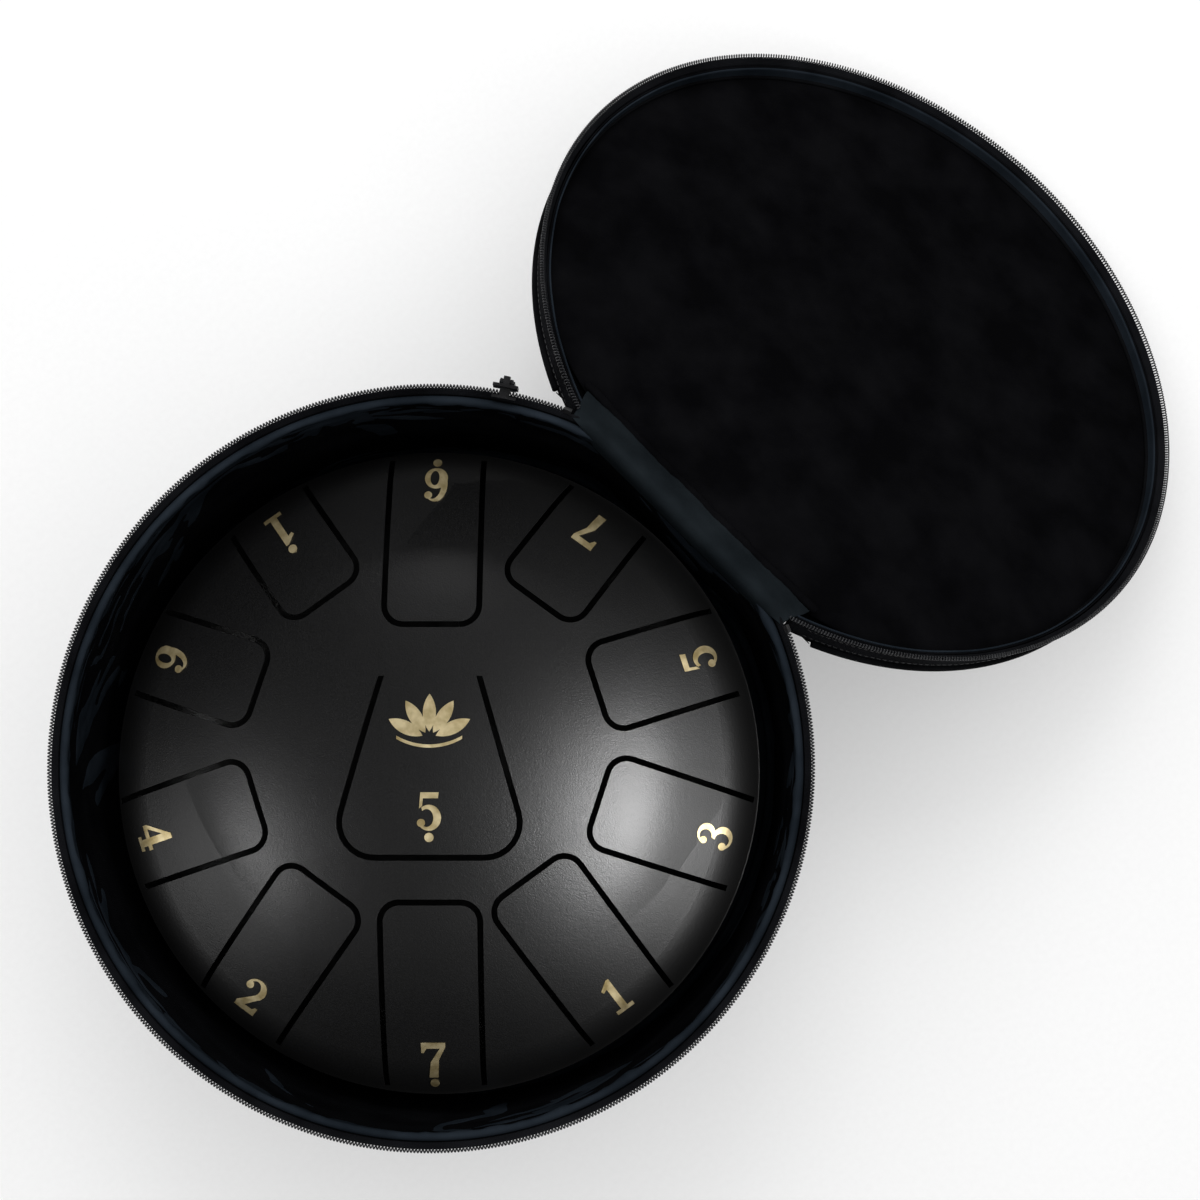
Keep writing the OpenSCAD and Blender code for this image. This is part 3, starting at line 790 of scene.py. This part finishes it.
def fold_seam():
    """The gathered seam where the strip meets the lid's lining."""
    n = 200
    half, beyond, below = 74 * MM, 11.5 * MM, 10.6 * MM
    z_seam = RIM_Z - beyond * math.tan(LID_SLOPE) - below
    path, out = [], []
    for i in range(n):
        x = (-1 + 2 * i / (n - 1)) * half
        sag = 1.6 * MM * (abs(x) / half) ** 3
        path.append((x, HINGE.y + beyond + 0.6 * MM * ripple(x, 0, 0, 60, 2) + sag,
                     z_seam + 0.5 * MM * ripple(x, 0, 0, 120, 7)))
        out.append((0, math.sin(LID_SLOPE), math.cos(LID_SLOPE)))
    obj = tube_piece("fold_seam_gathers", path, out, round_section(2.2 * MM, 12, 0.8))
    path_x, path_y, path_z = zip(*path)
    for v in obj.data.vertices:
        x, y, z = v.co
        pull = 1 + 0.30 * ripple(x, y, z, 260, 3) + 0.2 * ripple(x, y, z, 520, 5)
        mid_y = np.interp(x, path_x, path_y)
        mid_z = np.interp(x, path_x, path_z)
        v.co = x, mid_y + (y - mid_y) * pull, mid_z + (z - mid_z) * pull
    obj.data.update()
    dress(obj, "lid_lining", "lid")


# ---------------------------------------------------------------- handle
def handle():
    """A webbing handle: two sewn patches and a U-shaped strap with a padded grip."""
    r_patch = WALL_R + 0.85 * MM
    r_strap = WALL_R + 3.7 * MM
    mid_a = math.radians(20)
    half_w = 12.5 * MM
    low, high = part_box("carry_handle")
    patch_low, patch_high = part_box("handle_patches")
    for side, name in ((-1, "left"), (1, "right")):
        points = []
        for i in range(15):
            a = -math.pi / 2 + side * mid_a + (i / 14 - 0.5) * 2 * half_w * 1.12 / r_patch
            points.append([(r_patch * math.cos(a), r_patch * math.sin(a),
                            patch_low.z + (patch_high.z - patch_low.z) * j / 11) for j in range(12)])
        patch = thicken(grid_piece(name + "_handle_patch", points), 1.4 * MM)
        dress(patch, "webbing", "bag", ["handle_patches"])
        corners = [(-1, 0.08), (1, 0.08), (1, 0.92), (-1, 0.92), (-1, 0.08), (1, 0.92), (-1, 0.92), (1, 0.08)]
        path, out = [], []
        for (u0, v0), (u1, v1) in zip(corners, corners[1:]):
            for s in np.linspace(0, 1, 10, endpoint=False):
                a = -math.pi / 2 + side * mid_a + (u0 + (u1 - u0) * s) * half_w * 0.86 / r_patch
                z = patch_low.z + (patch_high.z - patch_low.z) * (v0 + (v1 - v0) * s)
                path.append(((r_patch + 0.8 * MM) * math.cos(a), (r_patch + 0.8 * MM) * math.sin(a), z))
                out.append((math.cos(a), math.sin(a), 0))
        stitches(name + "_patch_stitches", path, out, 2.8 * MM, "bag")
    leg = mid_a * r_strap
    corner = 24 * MM
    z_mid = low.z + 13 * MM
    flat = [(-leg, z) for z in np.linspace(patch_low.z + 3 * MM, z_mid + corner, 14)]
    flat += [(-leg + corner - corner * math.cos(b), z_mid + corner - corner * math.sin(b))
             for b in np.linspace(0, math.pi / 2, 10)[1:]]
    flat += [(x, z_mid) for x in np.linspace(-leg + corner, leg - corner, 20)[1:]]
    flat += [(-x, z) for x, z in reversed(flat[:23])]
    path, out = [], []
    for s, z in flat:
        a = -math.pi / 2 + s / r_strap
        r = r_strap - 2.2 * MM * smooth_step(HANDLE_FOLD.z - 4 * MM, patch_low.z + 2 * MM, z)
        path.append((r * math.cos(a), r * math.sin(a), z))
        out.append((math.cos(a), math.sin(a), 0))
    strap = tube_piece("carry_handle_strap", path, out, strap_section(2 * half_w, 1.8 * MM))
    dress(strap, "webbing", None, ["carry_handle"])
    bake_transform(strap)
    path, out = [], []
    for s in np.linspace(-leg + corner + 6 * MM, leg - corner - 6 * MM, 30):
        a = -math.pi / 2 + s / r_strap
        path.append((r_strap * math.cos(a), r_strap * math.sin(a), z_mid))
        out.append((math.cos(a), math.sin(a), 0))
    grip = tube_piece("carry_handle_grip", path, out, strap_section(2 * half_w + 2.4 * MM, 3.0 * MM, 6))
    dress(grip, "shell_fabric", "handle")


# ---------------------------------------------------------------- CAD nodes that stay
def keep_nodes():
    """Hard parts keep their CAD shape and get their material; the zip's metal parts also get their edges slightly
    rounded.
    """
    slots = {s["node"]: s["material_slot"] for s in frame["record"]["subparts"]}
    for name, obj in frame["nodes"].items():
        if obj.hide_render or slots[name] not in ("drum_paint", "gold_foil", "rubber", "zip_metal"):
            continue
        obj.data.materials.clear()
        obj.data.materials.append(MATS[slots[name]])
        if slots[name] == "zip_metal":
            modifier(obj, "BEVEL", width=0.35 * MM, segments=2, limit_method="ANGLE")


# ---------------------------------------------------------------- floor, lights, camera
def floor():
    """Plain pale paper that glows a little, so that shadows on it stay soft."""
    sheet = grid_piece("floor", [[(x, y, 0) for y in (-6, 6)] for x in (-6, 6)], smooth=False)
    mat, nodes, links, bsdf = material("floor_paper")
    grain = noise_node(nodes, links, nodes.new("ShaderNodeTexCoord").outputs["Object"], 300, 2)
    tone = ramp(nodes, (0.63, 0.63, 0.63), (0.65, 0.65, 0.65))
    links.new(grain.outputs["Fac"], tone.inputs["Fac"])
    links.new(tone.outputs["Color"], bsdf.inputs["Base Color"])
    bsdf.inputs["Roughness"].default_value = 0.8
    bsdf.inputs["Specular IOR Level"].default_value = 0.1
    bsdf.inputs["Emission Color"].default_value = (1, 1, 1, 1)
    bsdf.inputs["Emission Strength"].default_value = 0.34
    sheet.data.materials.append(mat)


def room():
    world = bpy.data.worlds.new("soft_room")
    bpy.context.scene.world = world
    world.use_nodes = True
    world.node_tree.nodes["Background"].inputs["Color"].default_value = (1, 1, 1, 1)
    world.node_tree.nodes["Background"].inputs["Strength"].default_value = 0.07


def area(name, at, aim, size, power):
    """A square lamp of that size in metres and power in watts, turned to its aim."""
    data = bpy.data.lights.new(name, "AREA")
    data.shape = "SQUARE"
    data.size = size
    data.energy = power
    lamp = link(bpy.data.objects.new(name, data))
    lamp.location = at
    lamp.rotation_euler = (Vector(aim) - Vector(at)).to_track_quat("-Z", "Y").to_euler()
    return lamp


def lamps():
    """Two soft lamps light everything. The others only shine back, from the drum alone or from the rest."""
    aim = Vector((0, 0.08, 0.1))
    area("sky", (-0.3, 0.5, 3.0), aim, 5.0, 146).visible_glossy = False
    area("key", (-0.9, 0.9, 2.2), aim, 0.8, 9).visible_glossy = False
    drum, rest = bpy.data.collections.new("drum_pieces"), bpy.data.collections.new("all_but_drum")
    for node in frame["record"]["behaviour"]["bodies"]["drum"]:
        drum.objects.link(frame["nodes"][node])
        rest.objects.link(frame["nodes"][node])
    for entry in rest.collection_objects:
        entry.light_linking.link_state = "EXCLUDE"
    satin = area("satin_shine", (-0.9, -0.6, 1.5), aim, 0.7, 12)
    satin.visible_diffuse = False
    satin.light_linking.receiver_collection = rest
    dome = Vector((DRUM_AXIS.x, DRUM_AXIS.y, 0.13))
    distance = 1.5
    for name, way, rise, size, power in (("dome_glow", (0.855, 0.518), 36, 0.75, 48),
                                         ("dome_left", (-0.39, -0.92), 29, 0.5, 9),
                                         ("dome_back", (-0.71, 0.71), 23, 0.5, 3)):
        tilt = math.radians(rise)
        at = dome + distance * Vector((way[0] * math.cos(tilt), way[1] * math.cos(tilt), math.sin(tilt)))
        lamp = area(name, at, dome, size, power)
        lamp.visible_diffuse = False
        lamp.light_linking.receiver_collection = drum
        lamp.light_linking.blocker_collection = drum


def camera():
    """Nearly overhead, the lid to the upper right, as in the photo."""
    tilt = math.radians(4)
    distance = 1.2
    up = Vector((-1, 1, 0)).normalized()
    right = Vector((1, 1, 0)).normalized()
    back = Vector((0, 0, 1)) * math.cos(tilt) - up * math.sin(tilt)
    target = Vector((0.0013, 0.1058, RIM_Z))
    data = bpy.data.cameras.new("camera")
    data.lens = 80.07
    data.sensor_width = 36
    cam = link(bpy.data.objects.new("camera", data))
    turned = Matrix((right, back.cross(right), back)).transposed().to_4x4()
    cam.matrix_world = Matrix.Translation(target + back * distance) @ turned
    bpy.context.scene.camera = cam


floor()
room()
lamps()
camera()
side_wall()
side_lining()
bag_floor()
bottom_piping()
zips()
lid_panel()
lid_skirts()
lid_lining()
lid_piping()
fold_backing()
fold_strip()
fold_seam()
handle()
keep_nodes()
bpy.context.scene.view_settings.view_transform = "Standard"
